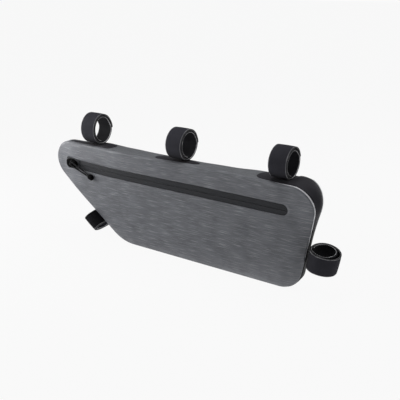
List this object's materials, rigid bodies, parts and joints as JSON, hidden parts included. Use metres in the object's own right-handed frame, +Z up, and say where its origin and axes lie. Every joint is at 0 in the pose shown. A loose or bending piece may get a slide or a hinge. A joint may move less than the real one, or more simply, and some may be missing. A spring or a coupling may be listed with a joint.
{
  "type": "bicycle frame bag",
  "caption": "Slim zipped bag of grey coated cloth that hangs inside a bicycle frame on wrapped hook-and-loop straps.",
  "frame": {"origin": "on the flat underside of the bag, halfway along its flat bottom run", "axes": "+X from the nose behind the head tube to the end at the seat tube, -Y the zipped front panel, +Z up towards the top tube"},
  "size_m": [0.3837, 0.0434, 0.1544],
  "materials": {
    "panel_cloth": "coated heather weave, satin",
    "gusset_cloth": "coated heather weave, satin",
    "patch_cloth": "black coated cloth, soft sheen",
    "zip_tape": "matt coated zip tape",
    "zip_slider": "black enamel, semi-gloss",
    "pull_cord": "braided cord, matt",
    "pull_grip": "moulded, satin",
    "piping": "smooth weld line, satin",
    "strap_web": "hook-and-loop webbing, matt"
  },
  "bodies": {
    "root": {"front_panel": "panel_cloth", "rear_panel": "panel_cloth", "main_gusset": "gusset_cloth", "end_gusset": "patch_cloth", "patch_top_front": "patch_cloth", "patch_top_middle": "patch_cloth", "piping_front": "piping", "piping_rear": "piping", "zip_tape_upper": "zip_tape", "zip_tape_lower": "zip_tape", "zip_garage": "zip_slider", "zip_slider": "zip_slider", "zip_pull_loop": "pull_cord", "zip_pull_grip": "pull_grip", "strap_top_front": "strap_web", "strap_top_middle": "strap_web", "strap_top_rear": "strap_web", "strap_seat_tube": "strap_web", "strap_down_tube": "strap_web"}
  },
  "joints": []
}
